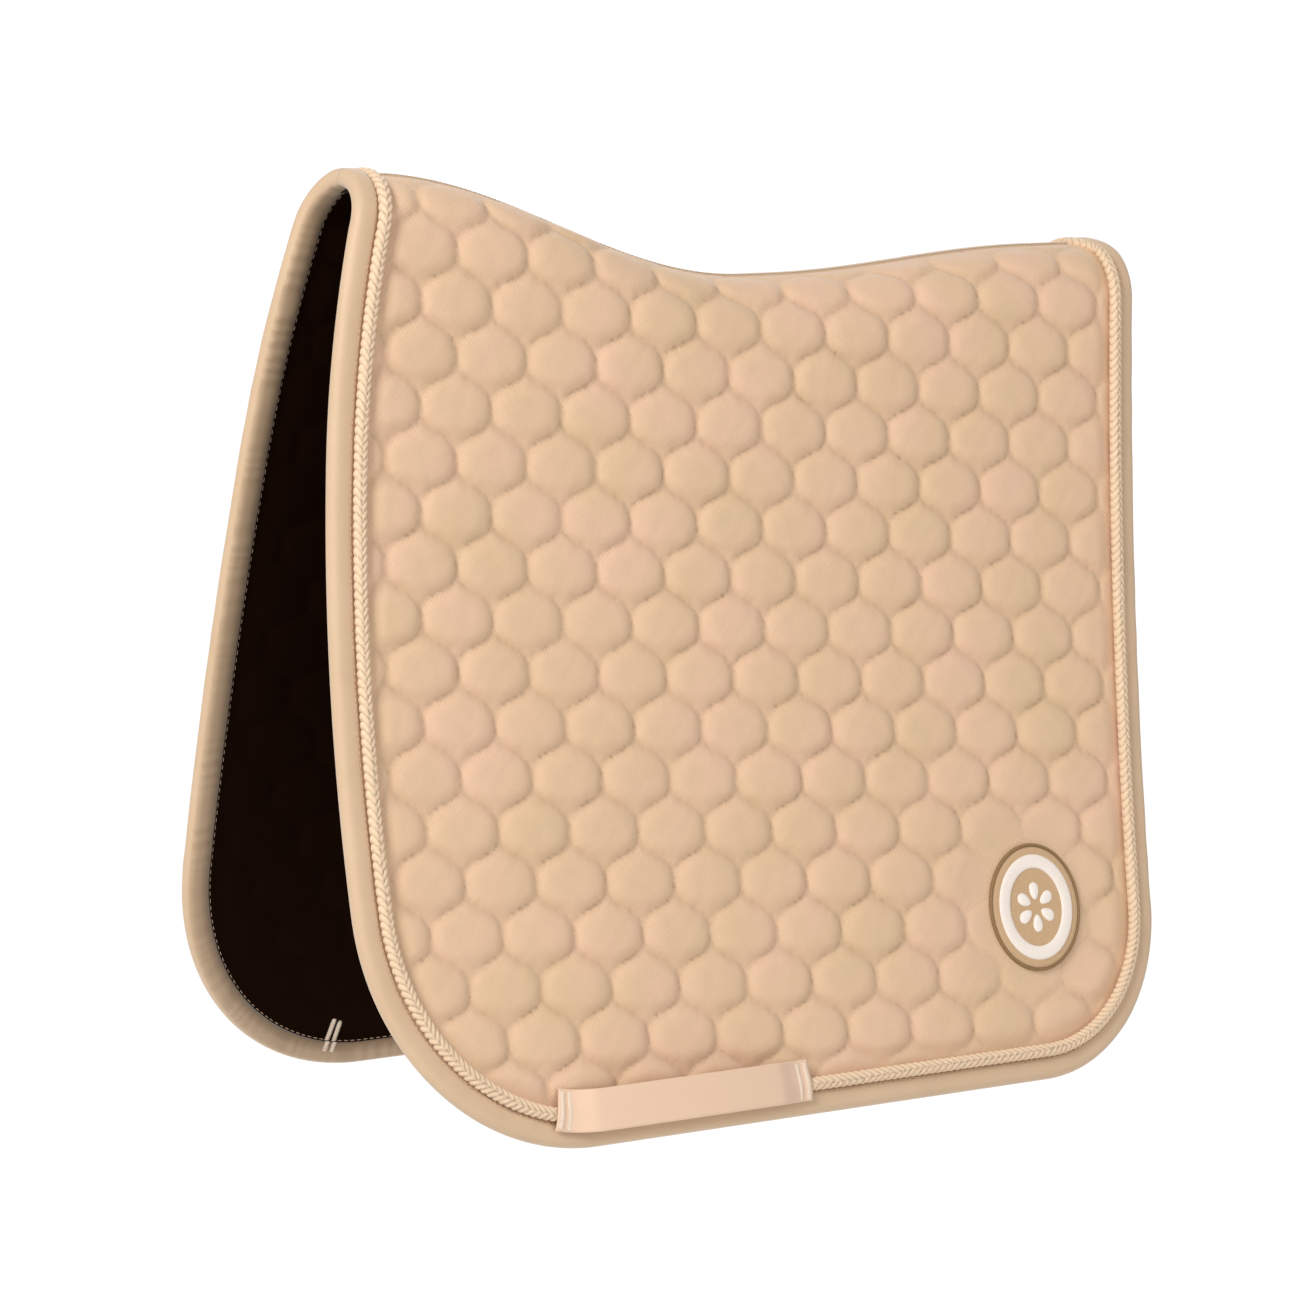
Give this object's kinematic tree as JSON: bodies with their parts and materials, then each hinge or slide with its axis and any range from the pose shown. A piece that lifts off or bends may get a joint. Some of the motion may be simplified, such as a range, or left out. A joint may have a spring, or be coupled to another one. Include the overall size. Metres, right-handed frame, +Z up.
{
  "type": "dressage saddle pad",
  "caption": "Quilted dressage saddle pad with a raised-wither spine seam, bound and corded edges, girth loops on both flaps and an oval badge.",
  "frame": {"origin": "underside of the spine tape at the deepest point of the seam's dip, on the centre plane", "axes": "+X along the horse's back to the rear of the pad, +Y to the off (right) side, +Z up"},
  "size_m": [0.6107, 0.2954, 0.5523],
  "materials": {
    "cover_fabric": "satin",
    "lining_fabric": "matte",
    "filling": "matte",
    "binding_fabric": "satin",
    "braided_cord": "satin",
    "lining_tape": "matte",
    "webbing": "satin",
    "sewing_thread": "satin",
    "badge_patch": "satin",
    "badge_raised": "satin"
  },
  "bodies": {
    "crest": {"near_crest_cover": "cover_fabric", "near_crest_filling": "filling", "near_crest_lining": "lining_fabric", "far_crest_cover": "cover_fabric", "far_crest_filling": "filling", "far_crest_lining": "lining_fabric", "near_crest_cords": "braided_cord", "far_crest_cords": "braided_cord", "front_crest_binding": "binding_fabric", "rear_crest_binding": "binding_fabric", "spine_seam_band": "binding_fabric", "spine_tape": "lining_tape"},
    "near_flap": {"near_flap_cover": "cover_fabric", "near_flap_filling": "filling", "near_flap_lining": "lining_fabric", "near_flap_binding": "binding_fabric", "near_flap_cord": "braided_cord", "near_girth_loop": "webbing", "near_loop_bar_tacks": "sewing_thread", "badge_patch": "badge_patch", "badge_rim": "badge_raised", "badge_petals": "badge_raised"},
    "far_flap": {"far_flap_cover": "cover_fabric", "far_flap_filling": "filling", "far_flap_lining": "lining_fabric", "far_flap_binding": "binding_fabric", "far_flap_cord": "braided_cord", "far_girth_loop": "webbing", "far_loop_bar_tacks": "sewing_thread"}
  },
  "joints": [
    {"name": "near_flap_fold", "type": "hinge", "parent": "crest", "child": "near_flap", "pos_m": [0, -0.044, -0.033], "axis": [-1, 0, 0], "range_deg": [-14.4, 78]},
    {"name": "far_flap_fold", "type": "hinge", "parent": "crest", "child": "far_flap", "pos_m": [0, 0.044, -0.033], "axis": [1, 0, 0], "range_deg": [-14.4, 78]}
  ]
}
